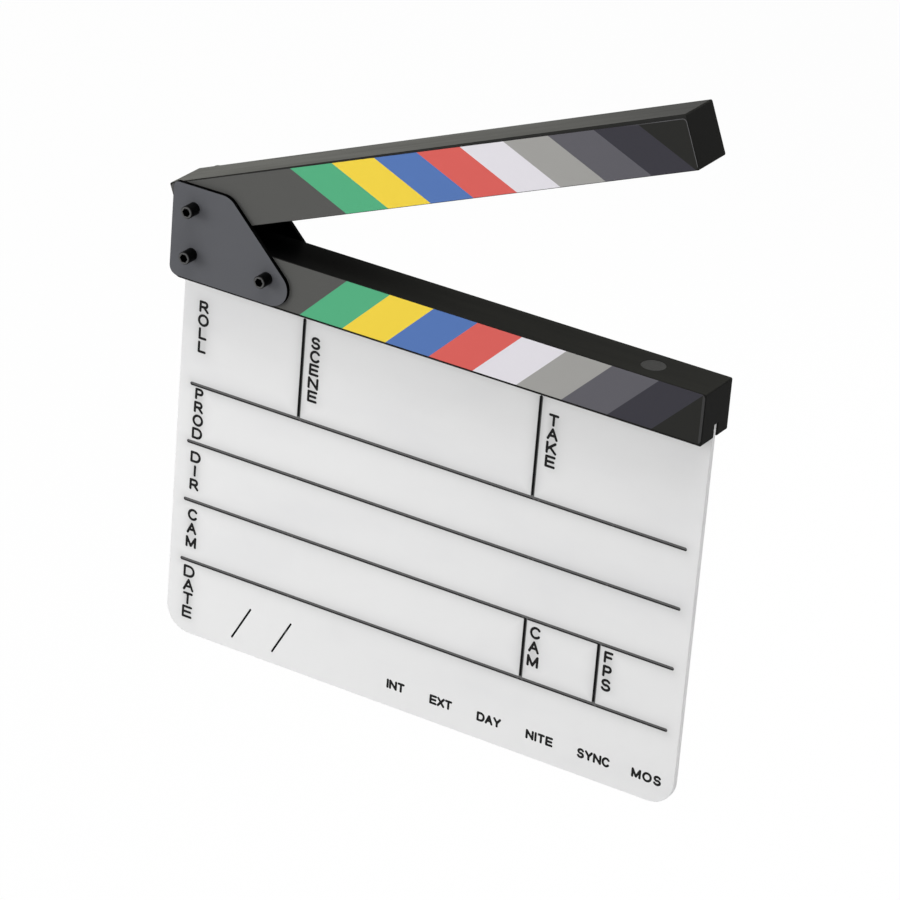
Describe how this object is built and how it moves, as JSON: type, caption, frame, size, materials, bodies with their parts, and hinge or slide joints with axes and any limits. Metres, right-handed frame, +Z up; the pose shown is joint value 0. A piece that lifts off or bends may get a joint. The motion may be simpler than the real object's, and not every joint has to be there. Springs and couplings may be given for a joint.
{
  "type": "clapperboard",
  "caption": "Film clapperboard: a white writing board under a striped stick, with a second striped stick hinged at one end that claps down onto it.",
  "frame": {"origin": "half way along the sticks, on the writing board's bottom edge, in the middle of the board's thickness", "axes": "+X from the hinge end to the free ends of the sticks, +Y from the front of the board to its back, +Z up from the board to the sticks"},
  "size_m": [0.3054, 0.045, 0.3625],
  "materials": {
    "board_acrylic": "satin",
    "line_ink": "matte",
    "stick_lacquer": "satin",
    "label_print": "satin",
    "plate_paint": "satin",
    "black_steel": "satin",
    "nylon": "satin",
    "magnet_nickel": "satin",
    "bush_brass": "satin"
  },
  "bodies": {
    "slate": {"writing_board": "board_acrylic", "engraved_line_ink": "line_ink", "lower_stick": "stick_lacquer", "lower_colour_label": "label_print", "lower_magnet": "magnet_nickel", "front_hinge_plate": "plate_paint", "rear_hinge_plate": "plate_paint", "fixing_screws": "black_steel", "fixing_washers": "black_steel", "fixing_nuts": "black_steel", "fixing_nut_inserts": "nylon", "pivot_screw": "black_steel", "pivot_rear_washer": "black_steel", "pivot_nut": "black_steel", "pivot_nut_insert": "nylon", "front_friction_washer": "nylon", "rear_friction_washer": "nylon"},
    "clapper": {"upper_stick": "stick_lacquer", "upper_colour_label": "label_print", "upper_magnet": "magnet_nickel", "pivot_bush": "bush_brass"}
  },
  "joints": [
    {"name": "clapper_hinge", "type": "hinge", "parent": "slate", "child": "clapper", "pos_m": [-0.1379, 0, 0.24225], "axis": [0, -1, 0], "range_deg": [-21.9, 68.1]}
  ]
}
